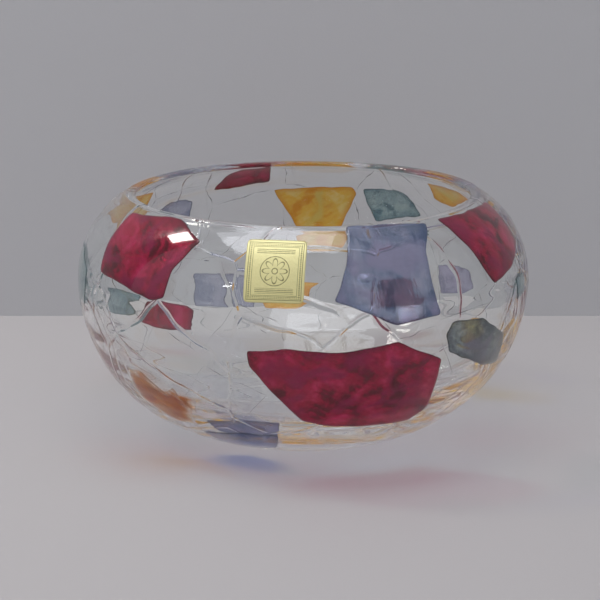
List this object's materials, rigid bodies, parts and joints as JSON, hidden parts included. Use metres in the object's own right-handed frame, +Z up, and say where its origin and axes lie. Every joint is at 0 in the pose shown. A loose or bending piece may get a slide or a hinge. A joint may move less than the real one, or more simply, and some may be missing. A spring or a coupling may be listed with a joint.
{
  "type": "art glass bowl",
  "caption": "Round clear glass bowl with an in-curved shoulder, wide flat-lipped mouth, thick flat foot and fused stained colour panels.",
  "frame": {"origin": "centre of the flat foot, on the table", "axes": "+Z up along the bowl's axis; the front, with the sticker, faces -Y"},
  "size_m": [0.2004, 0.2004, 0.1042],
  "materials": {
    "clear_glass": "hand-blown clear glass, flat fire-polished lip",
    "ruby_stain": "brushed ruby stain fused to the outside",
    "blue_stain": "slate blue stain fused to the outside",
    "teal_stain": "grey-teal stain fused to the outside",
    "amber_stain": "amber stain fused to the outside",
    "lavender_stain": "lavender stain fused to the outside",
    "foil": "pale gold foil sticker with plain olive ornament"
  },
  "bodies": {
    "root": {"bowl_body": "clear_glass", "ruby_panel_left_shoulder": "ruby_stain", "blue_panel_front": "blue_stain", "ruby_panel_right_shoulder": "ruby_stain", "ruby_panel_low_front": "ruby_stain", "teal_panel_left_side": "teal_stain", "teal_panel_right_low": "teal_stain", "teal_chip_right_side": "teal_stain", "amber_panel_low_left": "amber_stain", "blue_panel_foot": "blue_stain", "ruby_panel_back_shoulder": "ruby_stain", "amber_panel_back": "amber_stain", "teal_panel_back": "teal_stain", "amber_panel_back_right": "amber_stain", "amber_panel_left_shoulder": "amber_stain", "blue_panel_left_back": "blue_stain", "blue_panel_back_low_outer": "blue_stain", "blue_panel_back_low_inner": "blue_stain", "amber_panel_back_low": "amber_stain", "ruby_panel_back_low": "ruby_stain", "lavender_panel_right_back": "lavender_stain", "teal_panel_left_low": "teal_stain", "ruby_panel_left_low": "ruby_stain", "amber_panel_right_low": "amber_stain", "foil_sticker": "foil"}
  },
  "joints": []
}
